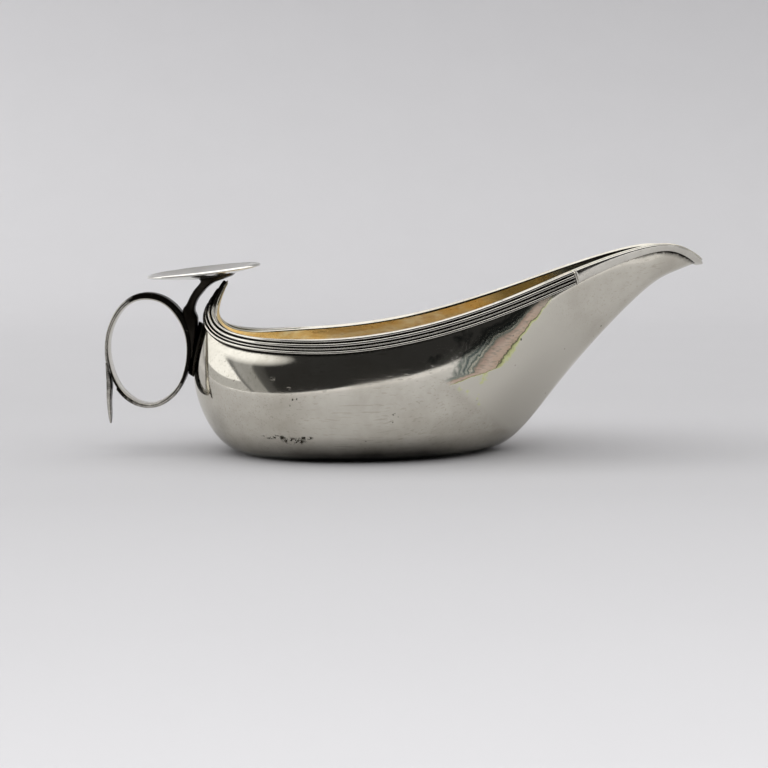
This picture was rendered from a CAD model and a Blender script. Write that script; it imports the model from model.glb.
import math
from functools import partial

import bpy
import numpy as np
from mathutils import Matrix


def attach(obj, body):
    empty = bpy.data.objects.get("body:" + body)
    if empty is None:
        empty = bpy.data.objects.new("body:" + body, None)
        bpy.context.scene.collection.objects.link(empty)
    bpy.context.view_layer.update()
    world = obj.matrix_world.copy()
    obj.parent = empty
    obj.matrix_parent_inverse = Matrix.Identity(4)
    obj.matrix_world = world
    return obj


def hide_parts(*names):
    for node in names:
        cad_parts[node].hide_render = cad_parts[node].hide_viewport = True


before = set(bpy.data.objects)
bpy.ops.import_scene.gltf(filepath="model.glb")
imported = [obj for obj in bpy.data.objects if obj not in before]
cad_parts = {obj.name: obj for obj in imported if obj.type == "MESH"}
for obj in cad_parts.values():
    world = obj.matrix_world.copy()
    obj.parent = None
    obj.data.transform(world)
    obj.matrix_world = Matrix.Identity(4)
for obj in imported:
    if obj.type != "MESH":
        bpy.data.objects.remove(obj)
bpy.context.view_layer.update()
mm = 0.001

camera = {"place": (-12.66, -377.86, 64.9), "turn": (83.43, 0.0, -3.0), "lens": 55.37}

# Upright section curves of the outer wall in mm, from the edge of the flat base up to the rim.
# They go from the stern round one side to the keel of the spout; the other side is the mirror image.
hull = {
    "sections": {
        "stern": [
            (-38, 0, 0), (-44.6, 0, 3.2), (-50.6, 0, 12), (-53.6, 0, 25.5), (-50.8, 0, 38.4),
            (-48.5, 0, 46), (-42.8, 0, 54.5)
        ],
        "heel": [
            (-36.2, 7, 0), (-42, 8.8, 3), (-47.2, 10, 11), (-50.2, 10, 23), (-49.6, 8.4, 34),
            (-47.4, 6.6, 40), (-46, 4.4, 45.3)
        ],
        "bilge": [
            (-31.2, 13.2, 0), (-35.8, 16.8, 3), (-39.8, 19.4, 10.6), (-41.9, 20.2, 21), (-41.8, 18.2, 30),
            (-40.6, 15.2, 34.9), (-39, 13.4, 38.6)
        ],
        "quarter": [
            (-20, 18.8, 0), (-22.2, 24.2, 3), (-24.1, 28.4, 10.4), (-25, 30.2, 20), (-25, 29.2, 28.4),
            (-24.4, 27.2, 33.4), (-23.8, 26, 37.7)
        ],
        "waist": [
            (-4, 20.9, 0), (-4, 26.6, 3), (-4, 31, 10.4), (-4, 33.1, 20), (-4, 33, 29), (-4, 32.4, 34.2),
            (-4, 31.8, 38.6)
        ],
        "fore": [
            (11.5, 19.6, 0), (14.2, 25, 3.2), (17, 29.2, 11), (19, 31, 21.5), (20, 31, 31.8),
            (20.4, 30.4, 37.6), (20.6, 29.4, 42.8)
        ],
        "root": [
            (24.5, 14.6, 0), (30.5, 19.4, 3.8), (36.5, 22.8, 14), (41, 24.2, 27), (43.6, 23.9, 38.6),
            (44.6, 23.2, 45), (45.2, 22, 50.4)
        ],
        "side": [
            (33.2, 8.4, 0), (41, 12, 4.2), (49.2, 14.7, 17), (57, 15.6, 34), (62.6, 14.8, 47.4),
            (65.2, 14.2, 53.4), (66.8, 13.4, 58.6)
        ],
        "lip": [
            (37.3, 3.8, 0), (45.8, 6, 3.8), (56.2, 7.6, 16.6), (68.4, 8.5, 36.2), (79.8, 8.5, 52.8),
            (84.4, 8.5, 59), (88, 8.4, 65.2)
        ],
        "nose": [
            (38.5, 1.7, 0), (47.2, 2.8, 3.3), (57.8, 3.8, 15), (71.6, 4.6, 33.6), (88.6, 5.6, 52.2),
            (96.6, 6.2, 58.6), (101.6, 6.9, 65)
        ],
        "keel": [
            (38.8, 0, 0), (47.6, 0, 3.1), (58.2, 0, 14.5), (72.7, 0, 32.3), (90, 0, 50.4), (100, 0, 57),
            (109.8, 0, 60.8)
        ],
    },
    "wall": 0.9,
    # rim in section: share of the wall inward, mm up
    "edge": [
        (0.02, 0.02), (0.08, 0.13), (0.2, 0.27), (0.32, 0.36), (0.42, 0.33), (0.55, 0.14), (0.75, -0.12),
        (0.96, -0.37)
    ],
    "columns": 14,  # mesh columns from one section curve to the next
    "rows": 12,  # mesh rows from one height to the next
}
band = {
    "end": 6.88,  # where the reeds stop, counted in section curves
    # mm down from the rim, width, height
    "reeds": [(0.4, 0.74, 1.45), (1.74, 0.86, 1.42), (2.93, 0.38, 1.3), (3.94, 0.7, 1.25)],
    "width": 4.4,
    "backing": 0.5,
}
stop = {"length": 0.85, "height": 1.5}
lip = {"start": 4.0, "tip": 2.0, "thick": 1.0}
ring = {
    "centre": (-67.87, 32.6), "outer": (13.5, 18.4), "inner": (12.1, 16.4), "shift": (0.1, -0.2),
    "width": 6.2,
    # degrees round the ring from the stem side, and how black and flat the strap is there
    "black": [
        (-180, 0.42), (-165, 0.6), (-150, 0.85), (-125, 0.8), (-105, 0.5), (-85, 0.38), (-55, 0.4),
        (-35, 0.7), (-24, 1), (95, 1), (108, 0.85), (122, 0.4), (145, 0.34), (180, 0.42)
    ],
}
stem = {
    "stations": [  # left edge x z, right edge x z, width across, mm
        (-54.9, 30.0, -53.9, 30.0, 2.6),
        (-55.0, 34.0, -53.2, 34.0, 4.2),
        (-55.2, 37.0, -52.6, 37.0, 5.4),
        (-56.1, 40.0, -52.1, 40.0, 5.9),
        (-56.8, 43.0, -52.0, 43.0, 6.0),
        (-56.6, 45.6, -52.8, 45.3, 6.0),
        (-55.4, 47.4, -52.5, 47.2, 6.0),
        (-54.3, 49.6, -51.6, 49.1, 6.2),
        (-53.0, 51.7, -50.2, 50.9, 6.6),
        (-51.5, 53.4, -48.5, 52.7, 7.4),
        (-50.9, 54.5, -46.2, 54.2, 9.0),
        (-51.8, 55.5, -41.2, 56.1, 11.5),
        (-52.0, 56.2, -40.0, 57.2, 12.0),
    ]
}
pad = {
    "outline": [
        (2.9, 0.05), (3.05, 0.15), (3.25, 0.23), (3.6, 0.31), (3.95, 0.36), (4.2, 0.37), (4.34, 0.36)
    ],
    "thick": 0.95, "rib": 0.75
}
plate = {"centre": (-50.1, 58.4), "size": (36, 25), "dish": 2.1, "thick": 0.9, "tilt": 6.5, "roll": 4.0}
tail = {
    "stations": [
        (-81.3, 28.8, -80.3, 28.8, 4.3),
        (-81.2, 25.2, -79.7, 25.0, 4.4),
        (-81.15, 22.0, -79.4, 21.4, 4.4),
        (-81.2, 19.8, -79.6, 19.4, 4.4),
        (-81.2, 16.4, -79.85, 16.4, 4.2),
        (-80.9, 12.2, -79.85, 12.2, 3.5),
        (-80.5, 9.4, -80.05, 9.4, 2.0),
    ]
}
rimStep = 6
edge = 0.02


def linear(hexColour):
    parts = [int(hexColour[i:i + 2], 16) / 255 for i in (0, 2, 4)]
    return tuple(c / 12.92 if c <= 0.04045 else ((c + 0.055) / 1.055) ** 2.4 for c in parts) + (1.0,)


def unit(vectors):
    return vectors / np.maximum(np.linalg.norm(vectors, axis=-1, keepdims=True), 1e-12)


# the hull's wall as a smooth surface through the section curves
def solveControl(points, closed):
    control = points.copy()
    for _ in range(80):
        if closed:
            blend = (np.roll(control, 1, 0) + 4 * control + np.roll(control, -1, 0)) / 6
            control = control + points - blend
        else:
            inner = (control[:-2] + 4 * control[1:-1] + control[2:]) / 6
            control[1:-1] += points[1:-1] - inner
    return control


half = np.array(list(hull["sections"].values()), float)
loops = np.concatenate([half, half[-2:0:-1] * (1, -1, 1)])
net = solveControl(loops, True)
net = np.swapaxes(solveControl(np.swapaxes(net, 0, 1).copy(), False), 0, 1)
net = np.concatenate([2 * net[:, :1] - net[:, 1:2], net, 2 * net[:, -1:] - net[:, -2:-1]], 1)
sectionCount = len(loops)


def weights(f):
    return [(1 - f) ** 3 / 6, (3 * f**3 - 6 * f**2 + 4) / 6, (-3 * f**3 + 3 * f**2 + 3 * f + 1) / 6, f**3 / 6]


def wallPoints(u, v):
    # u counts section curves round the hull, v counts heights from the base edge to the rim
    u, v = np.broadcast_arrays(np.asarray(u, float), np.asarray(v, float))
    i = np.floor(u).astype(int)
    height = np.clip(v, 0, rimStep)
    j = np.minimum(np.floor(height).astype(int), rimStep - 1)
    around, up = weights(u - i), weights(height - j)
    total = 0
    for a in range(4):
        for b in range(4):
            total = total + (around[a] * up[b])[..., None] * net[(i - 1 + a) % sectionCount, j + b]
    if np.any(v > rimStep):
        slope = (total - wallPoints(u, np.minimum(v, rimStep) - edge)) / edge
        total = total + slope * np.maximum(v - rimStep, 0)[..., None]
    return total


def outward(u, v):
    along = wallPoints(u + edge, v) - wallPoints(u - edge, v)
    up = wallPoints(u, v + edge) - wallPoints(u, np.maximum(v - edge, 0))
    return unit(np.cross(up, along))


def offWall(u, v, raised):
    return wallPoints(u, v) + outward(u, v) * np.asarray(raised)[..., None]


def downTheWall(start, down):
    # walks down the wall from the rim, square to it, and gives the point reached and the way out of the
    # wall there
    start, down = np.broadcast_arrays(np.asarray(start, float), np.asarray(down, float))
    u, v = start.copy(), np.full(start.shape, float(rimStep))
    along = unit(wallPoints(u + edge, v) - wallPoints(u - edge, v))
    heading = unit(np.cross(along, outward(u, v)))
    wrong = np.sum(heading * (wallPoints(u, v - 0.2) - wallPoints(u, v)), -1) < 0
    heading[wrong] *= -1
    steps = 36
    for _ in range(steps):
        across = (wallPoints(u + edge, v) - wallPoints(u - edge, v)) / (2 * edge)
        up = (wallPoints(u, v) - wallPoints(u, v - edge)) / edge
        a, b, c = (np.sum(p * q, -1) for p, q in ((across, across), (across, up), (up, up)))
        f, g = (np.sum(p * heading, -1) for p in (across, up))
        scale = down / steps / (a * c - b * b)
        u, v = u + (c * f - b * g) * scale, v + (a * g - b * f) * scale
        normal = outward(u, v)
        heading = unit(heading - normal * np.sum(heading * normal, -1)[..., None])
    return wallPoints(u, v), outward(u, v)


# mesh helpers
def buildMesh(name, points, faces, finishes, finishOf=None):
    points = np.asarray(points, float).reshape(-1, 3)
    quads = list(faces)
    volume = 0.0
    for f in quads:
        for k in range(1, len(f) - 1):
            volume += np.dot(points[f[0]], np.cross(points[f[k]], points[f[k + 1]]))
    if volume < 0:
        quads = [tuple(reversed(f)) for f in quads]
    mesh = bpy.data.meshes.new(name)
    mesh.from_pydata((points * mm).tolist(), [], quads)
    for finish in finishes:
        mesh.materials.append(finish)
    if finishOf is not None:
        mesh.polygons.foreach_set("material_index", finishOf)
    mesh.polygons.foreach_set("use_smooth", [True] * len(mesh.polygons))
    mesh.validate()
    mesh.update()
    piece = bpy.data.objects.new(name, mesh)
    bpy.context.scene.collection.objects.link(piece)
    return piece


def storeValues(piece, name, values):
    stored = piece.data.attributes.new(name, "FLOAT", "POINT")
    stored.data.foreach_set("value", np.asarray(values, np.float32).ravel())


def gridFaces(rows, columns, first=0, closed=True):
    faces = []
    for r in range(rows - 1):
        for c in range(columns if closed else columns - 1):
            d = (c + 1) % columns
            low, high = first + r * columns, first + (r + 1) * columns
            faces.append((low + c, low + d, high + d, high + c))
    return faces


def loft(name, rings, finish, endless=False):
    # closed body through rings of equal length; each open end is closed with a fan round its middle
    rings = np.asarray(rings, float)
    count, sides = rings.shape[:2]
    points = rings.reshape(-1, 3)
    faces = gridFaces(count, sides)
    if endless:
        last = (count - 1) * sides
        faces += [(last + c, last + (c + 1) % sides, (c + 1) % sides, c) for c in range(sides)]
    else:
        points = np.concatenate([points, rings[0].mean(0)[None], rings[-1].mean(0)[None]])
        low, high = len(points) - 2, len(points) - 1
        for c in range(sides):
            d = (c + 1) % sides
            faces += [(low, d, c), (high, (count - 1) * sides + c, (count - 1) * sides + d)]
    return buildMesh(name, points, faces, [finish])


def smoothLine(stations, count):
    # even cubic line through the stations, each a row of numbers
    p = np.asarray(stations, float)
    p = np.concatenate([2 * p[:1] - p[1:2], p, 2 * p[-1:] - p[-2:-1]])
    t = np.linspace(0, len(stations) - 1, count)
    i = np.minimum(t.astype(int), len(stations) - 2)
    f = (t - i)[:, None]
    a, b, c, d = p[i], p[i + 1], p[i + 2], p[i + 3]
    return 0.5 * (2 * b + (c - a) * f + (2 * a - 5 * b + 4 * c - d) * f**2 + (3 * b - a - 3 * c + d) * f**3)


def roundedBox(sides, square):
    # outline of a soft-edged bar: 0..1 across, -1..1 to the sides
    t = (np.arange(sides) + 0.5) / sides * 2 * math.pi
    c, s = np.cos(t), np.sin(t)
    return 0.5 + 0.5 * np.sign(c) * np.abs(c) ** square, np.sign(s) * np.abs(s) ** square


def barRings(stations, count, sides=28, square=0.45):
    line = smoothLine(stations, count)
    across, side = roundedBox(sides, square)
    left, right, width = line[:, None, 0:2], line[:, None, 2:4], line[:, 4:5]
    flat = left + (right - left) * across[None, :, None]
    return np.stack([flat[..., 0], side[None] * width * 0.5, flat[..., 1]], -1)


# materials
mathNode, vectorNode, splitNode = "ShaderNodeMath", "ShaderNodeVectorMath", "ShaderNodeSeparateXYZ"
noiseNode, mappingNode, rangeNode = "ShaderNodeTexNoise", "ShaderNodeMapping", "ShaderNodeMapRange"
rampNode, mixNode, rgb = "ShaderNodeValToRGB", "ShaderNodeMix", {"out": 2, "data_type": "RGBA"}


def addNode(tree, kind, inputs=None, out=0, stops=None, **settings):
    # adds a node with its settings and links, and gives one of its outputs, or all of them where out is None
    node = tree.nodes.new(kind)
    for key, value in settings.items():
        setattr(node, key, value)
    for key, value in (inputs or {}).items():
        if isinstance(value, bpy.types.NodeSocket):
            tree.links.new(value, node.inputs[key])
        else:
            node.inputs[key].default_value = value
    if stops:
        elements = node.color_ramp.elements
        elements.remove(elements[-1])
        for i, (place, tone) in enumerate(stops):
            stop = elements.new(place) if i else elements[0]
            stop.position = place
            stop.color = tone if isinstance(tone, tuple) else (tone, tone, tone, 1.0)
    return node.outputs if out is None else node.outputs[out]


def perMm(size):
    return 1000.0 / size  # pattern scale for features of that size in mm


def newMaterial(name):
    material = bpy.data.materials.new(name)
    material.use_nodes = True
    material.node_tree.nodes.clear()
    return material, partial(addNode, material.node_tree)


def finishMaterial(add, colour, rough, height):
    bump = add("ShaderNodeBump", {"Height": height, "Strength": 1.0, "Distance": mm})
    metal = {"Base Color": colour, "Metallic": 1.0, "Roughness": rough, "Normal": bump}
    shader = add("ShaderNodeBsdfPrincipled", metal)
    add("ShaderNodeOutputMaterial", {"Surface": shader}, None)


def layFilm(add, place, look, colour, rough):
    # a drift of sulphide film beside the spout: as it thickens it turns straw, green, rose and slate
    film, clean = look["film"], linear(look["clean"])
    x, y, _ = add(splitNode, {0: place}, None)
    along = add(vectorNode, {0: place, 1: film["along"]}, "Value", operation="DOT_PRODUCT")
    along = add(mathNode, {0: along, 1: film["alongFrom"] * mm}, operation="SUBTRACT")
    across = add(vectorNode, {0: place, 1: film["across"]}, "Value", operation="DOT_PRODUCT")
    across = add(mathNode, {0: across, 1: film["acrossFrom"] * mm}, operation="SUBTRACT")
    narrower = add(rangeNode, {"Value": along, "From Min": 0.008, "From Max": 0.026, "To Min": 1.0,
                               "To Max": 2.3})
    across = add(mathNode, {0: across, 1: narrower}, operation="MULTIPLY")
    drift = add(noiseNode, {"Vector": place, "Scale": perMm(7), "Detail": 6, "Roughness": 0.66})
    drift = add(mathNode, {0: drift, 1: 0.5}, operation="SUBTRACT")
    across = add(mathNode, {0: drift, 1: 0.006, 2: across}, operation="MULTIPLY_ADD")
    thick = add(rangeNode, {"Value": across, "From Min": -0.002, "From Max": 0.012})
    # it stops short against a steep edge behind and a shallow one below
    wander = add(noiseNode, {"Vector": place, "Scale": perMm(5), "Detail": 5, "Roughness": 0.6})
    wander = add(mathNode, {0: wander, 1: 0.5, 2: -0.25}, operation="MULTIPLY_ADD")
    behind = add(rangeNode, {"Value": x, "From Min": film["back"] * mm, "From Max": (film["back"] + 16) * mm,
                             "To Min": 0.95, "To Max": -0.36})
    behind = add(mathNode, {0: behind, 1: wander}, operation="ADD")
    thick = add(mathNode, {0: thick, 1: behind}, operation="MAXIMUM")
    below = add(vectorNode, {0: place, 1: film["under"]}, "Value", operation="DOT_PRODUCT")
    below = add(rangeNode, {"Value": below, "From Min": (film["underFrom"] - 0.35) * mm,
                            "From Max": (film["underFrom"] + 2.15) * mm})
    below = add(mathNode, {0: wander, 1: 1.3, 2: below}, operation="MULTIPLY_ADD")
    thick = add(mathNode, {0: thick, 1: below}, operation="MINIMUM")
    bands = [(share, linear(tone)) for share, tone in film["bands"]]
    tint = add(rampNode, {0: thick}, stops=[(0.0, clean), (0.06, clean)] + bands + [(0.95, clean)])
    # streaks run down the rose zone only
    grain = add(mappingNode, {"Vector": place, "Rotation": (0.0, 0.87, 0.0),
                              "Scale": (perMm(4), perMm(1), perMm(0.5))})
    grain = add(noiseNode, {"Vector": grain, "Scale": 1.0, "Detail": 3.0})
    grain = add(rampNode, {0: grain}, stops=[(0.5, 0.0), (0.7, 0.5)])
    rose = add(rampNode, {0: thick}, stops=[(0.18, 0.0), (0.22, 1.0), (0.5, 1.0), (0.57, 0.0)])
    streaks = add(mathNode, {0: grain, 1: rose}, operation="MULTIPLY")
    tint = add(mixNode, {0: streaks, 6: tint, 7: linear("8d8a78")}, **rgb)
    covered = add(rangeNode, {"Value": along, "From Min": -0.012, "From Max": 0.034})
    covered = add(rampNode, {0: covered}, stops=[(0.0, 0.0), (0.05, 1.0), (0.72, 1.0), (0.95, 0.25)])
    oneSide = add(mathNode, {0: y, 1: 0.0}, operation="LESS_THAN")
    covered = add(mathNode, {0: covered, 1: oneSide}, operation="MULTIPLY")
    matt = add(rampNode, {0: thick}, stops=[(0.1, 0.0), (0.2, 0.38), (0.5, 0.33), (0.62, 0.12), (0.9, 0.0)])
    rough = add(mathNode, {0: covered, 1: matt, 2: rough}, operation="MULTIPLY_ADD")
    return add(mixNode, {0: covered, 6: colour, 7: tint}, **rgb), rough


def brownFoot(add, place, amount, colour):
    # brown tarnish toward the foot, where the polishing cloth doesn't reach; weaker at both ends
    x, _, z = add(splitNode, {0: place}, None)
    low = add(rangeNode, {"Value": z, "From Min": 0.009, "From Max": 0.0028})
    patches = add(noiseNode, {"Vector": place, "Scale": perMm(14), "Detail": 5, "Roughness": 0.6})
    patches = add(rampNode, {0: patches}, stops=[(0.3, 0.8), (0.7, 1.0)])
    stern = add(rangeNode, {"Value": x, "From Min": -0.042, "From Max": -0.012, "To Min": 0.4, "To Max": 1.0})
    bow = add(rangeNode, {"Value": x, "From Min": 0.018, "From Max": 0.034, "To Min": 1.0, "To Max": 0.45})
    for share in (patches, stern, bow, amount):
        low = add(mathNode, {0: low, 1: share}, operation="MULTIPLY")
    return add(mixNode, {0: low, 6: colour, 7: linear("231d16")}, **rgb)


def blackSpecks(add, place, look):
    # specks of black sulphide, 0.5 mm across, in loose groups
    cell = add("ShaderNodeTexVoronoi", {"Vector": place, "Scale": perMm(2.1), "Randomness": 1.0}, "Distance")
    speck = add(rampNode, {0: cell}, stops=[(0.1, 1.0), (0.2, 0.0)])
    group = add(noiseNode, {"Vector": place, "Scale": perMm(9), "Detail": 2})
    group = add(rampNode, {0: group}, stops=[(look["speckFrom"], 0.0), (look["speckFrom"] + 0.06, 1.0)])
    speck = add(mathNode, {0: speck, 1: group}, operation="MULTIPLY")
    for spot, size, cover in look.get("marks", ()):
        # dents and pits left by an old repair or a knock, inside an ellipsoid of that size in mm
        local = add(mappingNode, {"Vector": place, "Location": tuple(-c / w for c, w in zip(spot, size)),
                                  "Scale": tuple(1000 / w for w in size)})
        away = add(vectorNode, {0: local}, "Value", operation="LENGTH")
        near = add(rampNode, {0: away}, stops=[(0.6, 1.0), (1.0, 0.0)])
        grain = add(noiseNode, {"Vector": place, "Scale": perMm(1.4), "Detail": 4.0, "Roughness": 0.7})
        grain = add(rampNode, {0: grain}, stops=[(cover, 1.0), (cover + 0.06, 0.0)])
        mark = add(mathNode, {0: near, 1: grain}, operation="MULTIPLY")
        speck = add(mathNode, {0: speck, 1: mark}, operation="MAXIMUM")
    return speck


def silverFinish(name, look):
    # Silver raised by hammer and polished by hand: mirror-like, with a slow ripple left by the planishing
    # hammer,
    # hairline scratches from cleaning, and thin sulphide tarnish that dulls it and turns it grey-brown.
    material, add = newMaterial(name)
    dull = linear(look["dull"])
    place = add("ShaderNodeTexCoord", out="Object")
    clouds = add(noiseNode, {"Vector": place, "Scale": perMm(17), "Detail": 6, "Roughness": 0.6})
    clouds = add(rampNode, {0: clouds}, stops=[(look["cloudFrom"], 0.0), (look["cloudTo"], 1.0)])
    mottle = add(noiseNode, {"Vector": place, "Scale": perMm(2.6), "Detail": 4, "Roughness": 0.65})
    mottle = add(rampNode, {0: mottle}, stops=[(0.42, 0.0), (0.72, 1.0)])
    # hairlines: long thin noise laid three ways; drawn 0.35 mm wide because real ones are too fine to show
    lines = 0.0
    for turn in ((0.2, 0.4, 0.5), (1.0, 0.3, -0.7), (0.5, 1.2, 1.4)):
        fine = (perMm(9), perMm(0.35), perMm(0.7))
        laid = add(mappingNode, {"Vector": place, "Rotation": turn, "Scale": fine})
        line = add(noiseNode, {"Vector": laid, "Scale": 1.0, "Detail": 1.0})
        line = add(rampNode, {0: line}, stops=[(0.66, 0.0), (0.72, 1.0)])
        lines = add(mathNode, {0: line, 1: lines}, operation="ADD")
    colour = linear(look["clean"])
    tarnish = look["tarnish"]
    for cover, share in ((clouds, tarnish), (mottle, 0.25 * tarnish), (lines, look["lineTint"])):
        amount = add(mathNode, {0: cover, 1: share}, operation="MULTIPLY")
        colour = add(mixNode, {0: amount, 6: colour, 7: dull}, **rgb)
    rough = add(mathNode, {0: clouds, 1: look["cloudRough"], 2: look["rough"]}, operation="MULTIPLY_ADD")
    rough = add(mathNode, {0: lines, 1: look["lineRough"], 2: rough}, operation="MULTIPLY_ADD")
    height = 0.0
    for size, detail, tall in ((look["rippleSize"], 1.0, look["ripple"]), (3.2, 2.0, 0.08 * look["ripple"])):
        wave = add(noiseNode, {"Vector": place, "Scale": perMm(size), "Detail": detail})
        height = add(mathNode, {0: wave, 1: tall, 2: height}, operation="MULTIPLY_ADD")
    height = add(mathNode, {0: lines, 1: -0.0012, 2: height}, operation="MULTIPLY_ADD")
    if "film" in look:
        colour, rough = layFilm(add, place, look, colour, rough)
    if "foot" in look:
        colour = brownFoot(add, place, look["foot"], colour)
    speck = blackSpecks(add, place, look)
    colour = add(mixNode, {0: speck, 6: colour, 7: linear("37332c")}, **rgb)
    height = add(mathNode, {0: speck, 1: -0.03, 2: height}, operation="MULTIPLY_ADD")
    if look.get("soot"):
        # black tarnish packed where parts meet
        soot = add("ShaderNodeAttribute", out="Fac", attribute_name="soot")
        patches = add(noiseNode, {"Vector": place, "Scale": perMm(1.6), "Detail": 4, "Roughness": 0.65})
        patches = add(rampNode, {0: patches}, stops=[(0.3, 0.75), (0.6, 1.25)])
        soot = add(mathNode, {0: soot, 1: patches}, operation="MULTIPLY")
        soot = add(rampNode, {0: soot}, stops=[(0.25, 0.0), (0.85, 1.0)])
        colour = add(mixNode, {0: soot, 6: colour, 7: linear("1b1916")}, **rgb)
        rough = add(mathNode, {0: soot, 1: 0.2, 2: rough}, operation="MULTIPLY_ADD")
    finishMaterial(add, colour, rough, height)
    return material


def giltFinish(name, look):
    # Fire-gilt silver: a thin warm gold skin, softer than the polished outside, rubbed pale in streaks
    # where it wears.
    material, add = newMaterial(name)
    place = add("ShaderNodeTexCoord", out="Object")
    stretched = add(mappingNode, {"Vector": place, "Scale": (0.35, 1.0, 1.3)})
    wear = add(noiseNode, {"Vector": stretched, "Scale": perMm(7), "Detail": 5.0, "Roughness": 0.6})
    fine = add(noiseNode, {"Vector": stretched, "Scale": perMm(1.2), "Detail": 3.0})
    rubbed = add(rampNode, {0: wear}, stops=[(0.46, 0.0), (0.6, 1.0)])
    grain = add(rampNode, {0: fine}, stops=[(0.5, 0.0), (0.8, 0.5)])
    # the gilding thins out along the spout and on the stern peak, where pouring and polishing rub it
    along, _, _ = add(splitNode, {0: place}, None)
    thin = add(mathNode, {0: wear, 1: 0.02, 2: along}, operation="MULTIPLY_ADD")
    bare = add(rangeNode, {"Value": thin, "From Min": look["fadeFrom"] * mm, "From Max": look["fadeTo"] * mm})
    peak = add(vectorNode, {0: place, 1: (-0.6, 0.0, 1.0)}, "Value", operation="DOT_PRODUCT")
    peak = add(rangeNode, {"Value": peak, "From Min": 0.063, "From Max": 0.068})
    colour = linear(look["gold"])
    for cover, tone in ((rubbed, "worn"), (grain, "deep"), (bare, "bare"), (peak, "peak")):
        colour = add(mixNode, {0: cover, 6: colour, 7: linear(look[tone])}, **rgb)
    rough = add(rangeNode, {"Value": wear, "To Min": look["rough"][0], "To Max": look["rough"][1]})
    polished = add(rampNode, {0: bare}, stops=[(0.0, 1.0), (1.0, 0.4)])
    rough = add(mathNode, {0: rough, 1: polished}, operation="MULTIPLY")
    height = add(mathNode, {0: wear, 1: 0.12}, operation="MULTIPLY")
    height = add(mathNode, {0: fine, 1: 0.012, 2: height}, operation="MULTIPLY_ADD")
    finishMaterial(add, colour, rough, height)
    return material


hullSilver = silverFinish("planishedSilver", {
    "clean": "d4d0c5", "dull": "a09989", "cloudFrom": 0.42, "cloudTo": 0.78,
    "tarnish": 0.5, "rough": 0.05, "cloudRough": 0.06,
    "lineTint": 0.3, "lineRough": 0.04, "speckFrom": 0.63, "ripple": 0.03, "rippleSize": 13, "soot": True,
    "foot": 0.97,
    "film": {
        "along": (0.645, 0.0, 0.764), "alongFrom": 46.3, "across": (-0.764, 0.0, 0.645), "acrossFrom": -11.9,
        "back": 27.5, "under": (-0.302, 0.0, 0.953), "underFrom": 15.5,
        # share of the film's full thickness, and its colour there
        "bands": [
            (0.11, "d6daa4"), (0.15, "c0c38c"), (0.175, "6b6b52"), (0.205, "dcc3ac"), (0.38, "e4cfbd"),
            (0.5, "cfb6a3"), (0.57, "7d877c"), (0.61, "c9c4b2"), (0.65, "55625b"), (0.7, "b0b1a4"),
            (0.74, "55625e"), (0.8, "aeaea2"), (0.86, "70776f"),
        ],
    },
    # place and reach of each mark in mm, and how much of it is pitted
    "marks": [
        ((-21, -27, 7.5), (4.5, 4, 1.4), 0.46), ((-26, -25.5, 8.5), (6, 4, 1.0), 0.42),
        ((-17.5, -28.2, 8.6), (2.6, 4, 0.7), 0.47), ((-27.4, -28, 26.2), (1.2, 3, 1.0), 0.44),
        ((-22.6, -29.8, 23.7), (0.7, 3, 0.5), 0.6), ((9, -31.7, 14.6), (3, 3, 2), 0.36),
    ]})
wireSilver = silverFinish("drawnSilverWire", {
    "clean": "dedbd2", "dull": "8c857a", "cloudFrom": 0.5, "cloudTo": 0.8,
    "tarnish": 0.4, "rough": 0.1, "cloudRough": 0.1,
    "lineTint": 0.12, "lineRough": 0.03, "speckFrom": 0.7, "ripple": 0.008, "rippleSize": 6, "soot": True})
grooveSilver = silverFinish("sulphidedGroove", {
    "clean": "1d1b18", "dull": "100f0d", "cloudFrom": 0.4, "cloudTo": 0.7,
    "tarnish": 0.6, "rough": 0.45, "cloudRough": 0.15,
    "lineTint": 0.12, "lineRough": 0.02, "speckFrom": 0.8, "ripple": 0.005, "rippleSize": 6})
handleSilver = silverFinish("wornStrapSilver", {
    "clean": "d8d4ca", "dull": "8a8378", "cloudFrom": 0.4, "cloudTo": 0.72,
    "tarnish": 0.5, "rough": 0.12, "cloudRough": 0.14,
    "lineTint": 0.12, "lineRough": 0.04, "speckFrom": 0.62, "ripple": 0.015, "rippleSize": 5, "soot": True})
stemSilver = silverFinish("blackenedStemSilver", {
    "clean": "38342e", "dull": "151310", "cloudFrom": 0.3, "cloudTo": 0.62,
    "tarnish": 0.85, "rough": 0.2, "cloudRough": 0.15,
    "lineTint": 0.12, "lineRough": 0.04, "speckFrom": 0.6, "ripple": 0.02, "rippleSize": 4})
plateSilver = silverFinish("polishedPlateSilver", {
    "clean": "f0eee8", "dull": "aba599", "cloudFrom": 0.45, "cloudTo": 0.8,
    "tarnish": 0.45, "rough": 0.11, "cloudRough": 0.1,
    "lineTint": 0.12, "lineRough": 0.04, "speckFrom": 0.68, "ripple": 0.015, "rippleSize": 8, "soot": True})
gilt = giltFinish("fireGilding", {
    "gold": "edd5a2", "worn": "fdf6e3", "deep": "b98f50", "bare": "918f7e", "peak": "cfcabc",
    "rough": (0.16, 0.44), "fadeFrom": 49, "fadeTo": 62})
print("materials made")


def stripHeight(u):
    # the plain strip round the spout is tall where it leaves the reeds and narrow toward the tip
    fromTip = np.abs(u - sectionCount / 2)
    return lip["tip"] + (lip["start"] - lip["tip"]) * np.maximum(0, (fromTip - 1.2) / 1.8) ** 1.6


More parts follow.
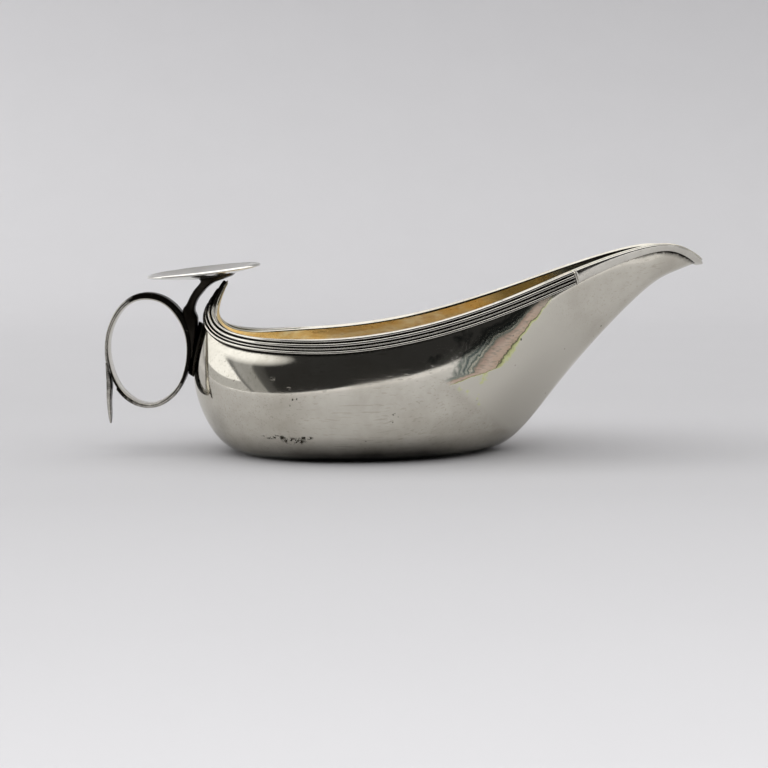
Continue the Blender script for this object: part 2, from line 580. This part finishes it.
# the hull: outer wall, rounded rim, gilt inner wall, flat base and flat floor
def makeHull():
    columns = np.arange(sectionCount * hull["columns"]) / hull["columns"]
    levels = np.arange(rimStep * hull["rows"] + 1) / hull["rows"]
    u, v = np.meshgrid(columns, levels)
    outer = wallPoints(u, v)
    outer[0, :, 2] = 0
    inner = offWall(u, v, np.full(u.shape, -hull["wall"]))
    inner[0, :, 2] = hull["wall"]
    rows = [outer]
    rimOut, rimIn = outer[-1], inner[-1]
    up = unit(wallPoints(columns, rimStep) - wallPoints(columns, rimStep - 0.1))
    inner = inner[:-1]
    for inward, high in hull["edge"]:  # soft outer corner, then a bevel filed down toward the inside
        rows.append((rimOut + (rimIn - rimOut) * inward + up * high)[None])
    rows.append(inner[::-1])
    points = np.concatenate(rows)
    count = len(columns)
    faces = gridFaces(len(points), count)
    # the outside, the rim and the first half millimetre inside stay ungilt
    silverRows = len(outer) + len(hull["edge"]) + 1
    finishOf = [0] * (count * silverRows) + [1] * (len(faces) - count * silverRows)
    # tarnish packed under the applied bands and just inside the rim
    down = np.linalg.norm(np.diff(outer, axis=0), axis=-1)[::-1].cumsum(0)[::-1]
    down = np.concatenate([down, np.zeros((1, count))])
    fromTip = np.abs(columns - sectionCount / 2)
    strip = np.where(fromTip < sectionCount / 2 - band["end"], stripHeight(columns), band["width"])
    spread = np.interp(fromTip, (2.6, 3.2), (1.1, 0.55))
    under = np.exp(-np.maximum(down - strip, 0) / spread)
    under = under * np.where(down > strip - 0.6, 1.0, 0.0) * np.where(spread > 0.8, 1.35, 1.0)
    inside = np.zeros((len(inner), count))
    inside[:2] = np.interp(rimIn[:, 0], (-36, -28), (0, 0.85))
    soot = np.concatenate([under, np.zeros((len(hull["edge"]), count)), inside])
    flat = points.reshape(-1, 3)
    # the base and the floor: each is a set of rings drawn in toward the centre line
    for first, finish in ((0, 0), ((len(points) - 1) * count, 1)):
        border = flat[first:first + count]
        spine = border * (1, 0, 1)
        spine[:, 0] = np.clip(spine[:, 0], -26, 22)
        previous = np.arange(first, first + count)
        for share in (0.8, 0.5, 0.2, 0.0):
            start = len(flat)
            flat = np.concatenate([flat, spine + (border - spine) * share])
            for c in range(count):
                d = (c + 1) % count
                quad = (previous[c], previous[d], start + d, start + c)
                faces.append(quad if finish else tuple(reversed(quad)))
                finishOf.append(finish)
            previous = np.arange(start, start + count)
    faces = [tuple(int(i) for i in f) for f in faces]
    piece = buildMesh("hull_visual", flat, faces, [hullSilver, gilt], finishOf)
    storeValues(piece, "soot", np.concatenate([soot.ravel(), np.zeros(len(flat) - soot.size)]))
    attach(piece, "root")
    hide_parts("hull")
    return piece


makeHull()
print("hull raised and gilt")


# reeded bands: drawn wires swept along the wall by geometry nodes
def reedTree():
    tree = bpy.data.node_groups.new("reedAlongWall", "GeometryNodeTree")
    asked = {"Geometry": "Geometry", "Width": "Float", "Height": "Float", "Soft Edge": "Float"}
    for name, kind in (asked | {"Finish": "Material"}).items():
        tree.interface.new_socket(name, in_out="INPUT", socket_type="NodeSocket" + kind)
    tree.interface.new_socket("Geometry", in_out="OUTPUT", socket_type="NodeSocketGeometry")
    add = partial(addNode, tree)
    given = add("NodeGroupInput", out=None)
    path = add("GeometryNodeMeshToCurve", {"Mesh": given["Geometry"]})
    wallNormal = add("GeometryNodeInputNamedAttribute", {"Name": "wallNormal"}, data_type="FLOAT_VECTOR")
    path = add("GeometryNodeSetCurveNormal", {"Curve": path, "Normal": wallNormal}, mode="FREE")
    swell = add("GeometryNodeInputNamedAttribute", {"Name": "swell"}, data_type="FLOAT")
    path = add("GeometryNodeSetCurveRadius", {"Curve": path, "Radius": swell})
    sizes = {"Width": given["Height"], "Height": given["Width"]}
    section = add("GeometryNodeCurvePrimitiveQuadrilateral", sizes)
    rounding = {"Curve": section, "Radius": given["Soft Edge"], "Count": 5}
    section = add("GeometryNodeFilletCurve", rounding, mode="POLY")
    wire = add("GeometryNodeCurveToMesh", {"Curve": path, "Profile Curve": section, "Fill Caps": True})
    wire = add("GeometryNodeRealizeInstances", {"Geometry": wire})
    wire = add("GeometryNodeSetMaterial", {"Geometry": wire, "Material": given["Finish"]})
    add("NodeGroupOutput", {"Geometry": wire}, None)
    return tree


reedNodes = reedTree()


def sweepWire(name, path, normals, swell, soot, width, height, finish):
    mesh = bpy.data.meshes.new(name)
    mesh.from_pydata((path * mm).tolist(), [(i, i + 1) for i in range(len(path) - 1)], [])
    stored = mesh.attributes.new("wallNormal", "FLOAT_VECTOR", "POINT")
    stored.data.foreach_set("vector", normals.astype(np.float32).ravel())
    piece = bpy.data.objects.new(name, mesh)
    storeValues(piece, "swell", swell)
    storeValues(piece, "soot", soot)
    bpy.context.scene.collection.objects.link(piece)
    modifier = piece.modifiers.new("reed", "NODES")
    modifier.node_group = reedNodes
    values = {"Width": width * mm, "Height": height * mm, "Soft Edge": 0.32 * width * mm, "Finish": finish}
    for item in reedNodes.interface.items_tree:
        if item.in_out == "INPUT" and item.name in values:
            modifier[item.identifier] = values[item.name]
    evaluated = piece.evaluated_get(bpy.context.evaluated_depsgraph_get())
    piece.data = bpy.data.meshes.new_from_object(evaluated)
    piece.modifiers.clear()
    piece.data.polygons.foreach_set("use_smooth", [len(p.vertices) == 4 for p in piece.data.polygons])
    return piece


def joinPieces(name, pieces):
    chosen = {"selected_objects": pieces, "selected_editable_objects": pieces}
    with bpy.context.temp_override(active_object=pieces[0], object=pieces[0], **chosen):
        bpy.ops.object.join()
    pieces[0].name = name
    pieces[0].data.name = name
    return pieces[0]


def tongueThin(u):
    return np.minimum(1, 0.35 + 0.65 * u)


def makeBand(side):
    sign = 1 if side == "left" else -1
    pieces = []
    stations = np.concatenate([np.linspace(0.1, 1.2, 60), np.linspace(1.22, band["end"], 190)])
    for k, (down, width, height) in enumerate(band["reeds"]):
        path, normals = downTheWall(stations, np.full(stations.shape, down))
        swell = np.minimum(1, 0.6 + 0.4 * stations)
        path = path + normals * (height * tongueThin(stations) - (height + 0.05) / 2 * swell)[:, None]
        keep = path[:, 1] > 0.1
        keep &= np.cumsum(~keep[::-1])[::-1] == 0
        path, normals = path[keep] * (1, sign, 1), normals[keep] * (1, sign, 1)
        soot = np.interp(stations, (0.75, 1.25), (1, 0))[keep]
        name = f"reed_{side}_{k}"
        pieces.append(sweepWire(name, path, normals, swell[keep], soot, width, height + 0.05, wireSilver))
    # flat backing strip that the reeds stand on, black with old tarnish between them
    stations = np.concatenate([np.linspace(0.06, 1.2, 40), np.linspace(1.24, band["end"], 130)])
    outline = [(0.15, -0.1), (0.15, 0.8)] + [(d, 1.0) for d in np.linspace(0.3, band["width"] - 0.15, 12)]
    outline += [(band["width"] + 0.1, 0.8), (band["width"] + 0.1, -0.1)]
    outline += [(d, -0.1) for d in np.linspace(band["width"] - 0.4, 0.4, 8)]
    downs = np.array([d for d, _ in outline])
    points, normals = downTheWall(stations[:, None], downs[None])
    raised = np.array([r for _, r in outline]) * band["backing"]
    rings = points + normals * (raised[None] * tongueThin(stations)[:, None])[..., None]
    rings[..., 1] = np.maximum(rings[..., 1], 0.02)
    pieces.append(loft(f"backing_{side}", rings * (1, sign, 1), grooveSilver))
    piece = joinPieces(f"reeded_band_{side}_visual", pieces)
    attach(piece, "root")
    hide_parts(f"reeded_band_{side}")


for side in ("left", "right"):
    makeBand(side)
print("reeded bands soldered on")


# rounded stops at the end of the reeds and the plain strip round the spout
rimReach = float(np.linalg.norm(wallPoints(band["end"] + 0.1, 5.6) - wallPoints(band["end"], 5.6)) * 10)


def makeStop(side):
    sign = 1 if side == "left" else -1
    t = np.linspace(math.pi, 0, 15)
    arch = [(0.5 + 0.5 * math.cos(a), 0.45 + (stop["height"] - 0.45) * math.sin(a)) for a in t]
    outline = np.array([(0, -0.1)] + arch + [(1, -0.1)])
    rings = []
    long = band["width"] + 0.15
    for down in np.linspace(0, long, 24):
        fromEnd = min(down, long - down)
        fade = 0.55 + 0.45 * math.sin(math.pi * min(1, fromEnd / 1.2) / 2)  # ends rounded over 1.2 mm
        u = band["end"] + (0.15 + (0.5 + (outline[:, 0] - 0.5) * fade) * stop["length"]) / rimReach
        points, normals = downTheWall(u, np.full(u.shape, down))
        rings.append((points + normals * (outline[:, 1:] * fade)) * (1, sign, 1))
    piece = loft(f"band_stop_{side}_visual", rings, wireSilver)
    low = np.interp(outline[:, 1], (0.75, 1.1), (1, 0))
    storeValues(piece, "soot", np.concatenate([np.tile(low, len(rings)), [1, 1]]))
    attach(piece, "root")
    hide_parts(f"band_stop_{side}")


def makeLipStrip():
    first = band["end"] + (0.3 + stop["length"]) / rimReach
    stations = np.linspace(first, sectionCount - first, 220)
    face = [
        (0, 0.8), (0.02, 1.0), (0.06, 1.1), (0.12, 1.13), (0.35, 1.03), (0.6, 0.92), (0.84, 0.82),
        (0.92, 0.76), (0.97, 0.66), (1, 0.45)
    ]
    outline = np.array([(0, 0.0)] + face + [(1, 0.0)] + [(a, -0.12) for a in (0.9, 0.6, 0.3, 0.1)])
    downs = 0.08 + outline[None, :, 0] * stripHeight(stations)[:, None]
    points, normals = downTheWall(stations[:, None], downs)
    rings = points + normals * (outline[None, :, 1] * lip["thick"])[..., None]
    piece = loft("lip_band_visual", rings, wireSilver)
    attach(piece, "root")
    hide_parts("lip_band")


for side in ("left", "right"):
    makeStop(side)
makeLipStrip()
print("stops and lip strip on")


# the handle: finger ring, pad, stem, thumb plate and spur
def makeRing():
    turns = np.linspace(-math.pi, math.pi, 240, endpoint=False)
    black = np.interp(np.degrees(turns), *zip(*ring["black"]))
    t = (np.arange(36) + 0.5) / 36 * 2 * math.pi
    flatness = np.interp(black, (0.2, 1), (0.85, 0.3))[:, None]
    across = 0.5 + 0.5 * np.sign(np.cos(t)) * np.abs(np.cos(t)) ** flatness
    side = np.sign(np.sin(t)) * np.abs(np.sin(t)) ** flatness
    cx, cz = ring["centre"]
    circle = np.stack([np.cos(turns), np.sin(turns)], -1)
    outer = (cx, cz) + circle * ring["outer"]
    inner = np.add((cx, cz), ring["shift"]) + circle * ring["inner"]
    # thickened with solder toward the stem
    outer += unit(outer - (cx, cz)) * (0.75 * np.exp(-((np.degrees(turns) - 38) / 30) ** 2))[:, None]
    # hand filed: the strap's thickness wanders a little, and it is notched where the spur is let in
    inner += (outer - inner) * (0.05 * np.sin(3 * turns + 0.6) + 0.03 * np.sin(7 * turns))[:, None]
    notch = (outer[:, 0] < cx) & (outer[:, 1] < 28.8) & (outer[:, 1] > 20.5)
    outer[notch] -= (outer - inner)[notch] * 0.3
    flat = inner[:, None] + (outer - inner)[:, None] * across[..., None]
    rings = np.stack([flat[..., 0], side * ring["width"] * 0.5, flat[..., 1]], -1)
    piece = loft("handle_ring_visual", rings, handleSilver, endless=True)
    creases = 0.42 * np.exp(-((across - 0.24) / 0.08) ** 2) + 0.4 * np.exp(-((across - 1) / 0.1) ** 2)
    creases = creases + 0.6 * np.clip((side - 0.3) / 0.35, 0, 1) * (across < 0.35)
    storeValues(piece, "soot", black[:, None] * np.clip((across - 0.18) / 0.12, 0, 1) + creases)
    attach(piece, "root")
    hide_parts("handle_ring")


def makePad():
    outline = smoothLine(pad["outline"], 40)
    across = np.linspace(-1, 1, 21)
    v = outline[:, :1] + 0 * across[None]
    u = outline[:, 1:] * across[None]
    rise = np.linspace(0, 12, 40)[:, None]  # both layers start thin at the low end
    crown = pad["thick"] * (0.35 + 0.65 * (1 - np.abs(across) ** 4))[None] * np.minimum(1, 0.3 + rise)
    # solder built up under the ring
    crown = crown + pad["rib"] * np.exp(-(across / 0.5) ** 4)[None] * np.minimum(1, rise)
    top = offWall(u, v, crown)
    back = offWall(u, v, np.full(u.shape, -0.1))
    rings = np.concatenate([top, back[:, ::-1]], 1)
    piece = loft("mount_pad_visual", rings, stemSilver)
    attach(piece, "root")
    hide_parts("mount_pad")


def makeStem():
    piece = loft("thumb_stem_visual", barRings(stem["stations"], 110, 32, 0.5), stemSilver)
    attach(piece, "root")
    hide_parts("thumb_stem")


def makePlate():
    rings = []
    turns = np.linspace(0, 2 * math.pi, 144, endpoint=False)
    wobble = 1 + 0.006 * np.sin(3 * turns + 1) + 0.004 * np.sin(5 * turns)
    length, width = plate["size"]
    shape = []
    for r in np.linspace(0.03, 0.95, 26):
        shape.append((r, -plate["dish"] * (1 - r**2) - plate["thick"]))
    # the edge is rounded over from above, so it shows as a bright line
    shape += [
        (0.975, -1.04), (0.99, -0.98), (0.998, -0.88), (1.0, -0.78), (0.996, -0.62), (0.985, -0.38),
        (0.968, -0.16), (0.95, -0.1)
    ]
    for r in np.linspace(0.925, 0.03, 26):
        shape.append((r, -plate["dish"] * (1 - r**2)))
    long, wide = wobble * length / 2 * np.cos(turns), wobble * width / 2 * np.sin(turns)
    for r, z in shape:
        rings.append(np.stack([r * long, r * wide, np.full(turns.shape, z)], -1))
    rings = np.array(rings)
    roll, tilt = math.radians(plate["roll"]), math.radians(plate["tilt"])
    x, y, z = rings[..., 0], rings[..., 1], rings[..., 2]
    y, z = y * math.cos(roll) - z * math.sin(roll), y * math.sin(roll) + z * math.cos(roll)
    x, z = x * math.cos(tilt) - z * math.sin(tilt), x * math.sin(tilt) + z * math.cos(tilt)
    turned = np.stack([x + plate["centre"][0], y, z + plate["centre"][1]], -1)
    piece = loft("thumb_plate_visual", turned, plateSilver)
    under = np.exp(-(np.hypot(rings[..., 0] - 2.5, rings[..., 1]) / 8.5) ** 4)
    under[26:] = 0
    storeValues(piece, "soot", np.concatenate([under.ravel(), [0, 0]]))
    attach(piece, "root")
    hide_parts("thumb_plate")


def makeTail():
    rings = barRings(tail["stations"], 60, 24, 0.55)
    piece = loft("tail_spur_visual", rings, handleSilver)
    middle = rings[..., 0].mean(1, keepdims=True)
    half = np.ptp(rings[..., 0], axis=1)[:, None] / 2
    edges = np.clip(np.abs(rings[..., 0] - middle) / half - 0.5, 0, 0.5)
    soot = np.interp(rings[..., 2], (15, 21), (0.3, 0.5)) + 0.9 * edges
    storeValues(piece, "soot", np.concatenate([soot.ravel(), [0.3, 1]]))
    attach(piece, "root")
    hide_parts("tail_spur")


makeRing()
makePad()
makeStem()
makePlate()
makeTail()
print("handle built")


# floor, studio and camera
studio = {
    "paper": "f2f1f3",
    # metres back, tone
    "paperShade": [
        (-0.35, 1.1), (-0.25, 1.05), (-0.24, 0.86), (-0.18, 0.775), (-0.07, 0.68), (0.13, 0.67),
        (0.46, 0.72), (0.65, 0.76), (1.2, 1.0)
    ],
    "frontEdge": -350,
    "key": 9.0,
    # radiance of the room by compass bearing in degrees from the front, plus toward the spout
    "room": [
        (-180, 0.75), (-112, 0.75), (-106, 1.4), (-67.5, 1.4), (-66.5, 0.22), (-64, 0.24), (-63.5, 0.45),
        (-54, 0.42), (-53, 0.55), (-52.5, 0.12), (-44, 0.09), (-43.5, 0.04), (58, 0.03), (64, 0.5),
        (90, 0.7), (180, 0.75)
    ],
    "lean": 0.7,  # the verticals on the left lean: degrees of bearing for each degree of height
    # sine of the height where the window starts and stops fading in, and the tone of the wall under it
    "sill": (0.15, 0.17, 0.62),
    "ceiling": 1.5,
}


def plainPaper(name):
    # matt seamless paper with a faint fibre, a shade darker behind the object than in front
    material, add = newMaterial(name)
    place = add("ShaderNodeTexCoord", out="Object")
    _, back, _ = add(splitNode, {0: place}, None)
    first, last = studio["paperShade"][0][0], studio["paperShade"][-1][0]
    back = add(rangeNode, {"Value": back, "From Min": first, "From Max": last})
    shade = [((y - first) / (last - first), tone) for y, tone in studio["paperShade"]]
    shade = add(rampNode, {0: back}, stops=shade)
    fibre = add(noiseNode, {"Vector": place, "Scale": perMm(60), "Detail": 6.0})
    fibre = add(mathNode, {0: fibre, 1: 0.05}, operation="MULTIPLY")
    tone = add(mixNode, {0: 1.0, 6: linear(studio["paper"]), 7: shade}, blend_type="MULTIPLY", **rgb)
    tone = add(mixNode, {0: fibre, 6: tone, 7: (0.3, 0.3, 0.3, 1.0)}, **rgb)
    matt = {"Base Color": tone, "Roughness": 0.9, "Specular IOR Level": 0.1}
    shader = add("ShaderNodeBsdfPrincipled", matt)
    add("ShaderNodeOutputMaterial", {"Surface": shader}, None)
    return material


def makeStage():
    profile = [(studio["frontEdge"], 0), (0, 0), (500, 0)]
    for angle in range(0, 91, 6):
        t = math.radians(angle)
        profile.append((650 + 550 * math.sin(t), 550 - 550 * math.cos(t)))
    profile.append((1200, 2200))
    points = [(x, y, z) for y, z in profile for x in (-2500, 0, 2500)]
    faces = gridFaces(len(profile), 3, closed=False)
    mesh = bpy.data.meshes.new("paper_sweep")
    mesh.from_pydata([tuple(c * mm for c in p) for p in points], [], faces)
    mesh.polygons.foreach_set("use_smooth", [True] * len(mesh.polygons))
    mesh.materials.append(plainPaper("seamlessPaper"))
    sweep = bpy.data.objects.new("paper_sweep", mesh)
    bpy.context.scene.collection.objects.link(sweep)


def makeLight(name, place, aim, size, power):
    light = bpy.data.lights.new(name, "AREA")
    light.shape = "RECTANGLE"
    light.size, light.size_y = size[0] * mm, size[1] * mm
    light.energy = power
    lamp = bpy.data.objects.new(name, light)
    bpy.context.scene.collection.objects.link(lamp)
    lamp.visible_glossy = False  # the room gives the reflections
    direction = unit(np.array(place, float) - np.array(aim, float))
    lamp.location = [c * mm for c in place]
    lamp.rotation_euler = (math.acos(direction[2]), 0, math.atan2(direction[0], -direction[1]))
    return lamp


def makeWorld():
    # a grey room: dark in front of the object, a window to the left, pale walls and a pale ceiling
    world = bpy.data.worlds.new("greyRoom")
    bpy.context.scene.world = world
    world.use_nodes = True
    world.node_tree.nodes.clear()
    add = partial(addNode, world.node_tree)
    way = add("ShaderNodeTexCoord", out="Generated")
    x, y, z = add(splitNode, {0: way}, None)
    ahead = add(mathNode, {0: y, 1: -1.0}, operation="MULTIPLY")
    bearing = add(mathNode, {0: x, 1: ahead}, operation="ARCTAN2")
    climb = add(mathNode, {0: z}, operation="ARCSINE")
    climb = add(mathNode, {0: climb, 1: studio["lean"]}, operation="MULTIPLY")
    onTheLeft = add(mathNode, {0: bearing, 1: 0.0}, operation="LESS_THAN")
    bearing = add(mathNode, {0: climb, 1: onTheLeft, 2: bearing}, operation="MULTIPLY_ADD")
    bearing = add(rangeNode, {"Value": bearing, "From Min": -math.pi, "From Max": math.pi})
    brightest = max(studio["ceiling"], *(tone for _, tone in studio["room"]))
    walls = [(angle / 360 + 0.5, tone / brightest) for angle, tone in studio["room"]]
    walls = add(rampNode, {0: bearing}, stops=walls)
    low, high, wallTone = studio["sill"]
    sill = add(rampNode, {0: z}, stops=[(low, 1.0), (high, 0.0)])
    ceiling = add(rampNode, {0: z}, stops=[(0.55, 0.0), (0.68, 1.0)])
    seen = add("ShaderNodeLightPath", out="Is Camera Ray")
    wallTone, top, plain = ((tone / brightest,) * 3 + (1.0,) for tone in (wallTone, studio["ceiling"], 0.6))
    under = add(mixNode, {0: sill, 6: (1.0, 1.0, 1.0, 1.0), 7: wallTone}, **rgb)
    walls = add(mixNode, {0: 1.0, 6: walls, 7: under}, blend_type="DARKEN", **rgb)
    tone = add(mixNode, {0: ceiling, 6: walls, 7: top}, **rgb)
    tone = add(mixNode, {0: seen, 6: tone, 7: plain}, **rgb)
    background = add("ShaderNodeBackground", {"Color": tone, "Strength": brightest})
    add("ShaderNodeOutputWorld", {"Surface": background}, None)


makeStage()
makeLight("window_left", (-1900, -60, 700), (0, 0, 20), (900, 500), studio["key"])
makeWorld()
bpy.context.scene.view_settings.view_transform = "Standard"

lens = bpy.data.cameras.new("camera")
lens.lens = camera["lens"]
lens.clip_start, lens.clip_end = 0.01, 20
eye = bpy.data.objects.new("camera", lens)
bpy.context.scene.collection.objects.link(eye)
eye.location = [c * mm for c in camera["place"]]
eye.rotation_euler = [math.radians(a) for a in camera["turn"]]
bpy.context.scene.camera = eye

print("stage set")
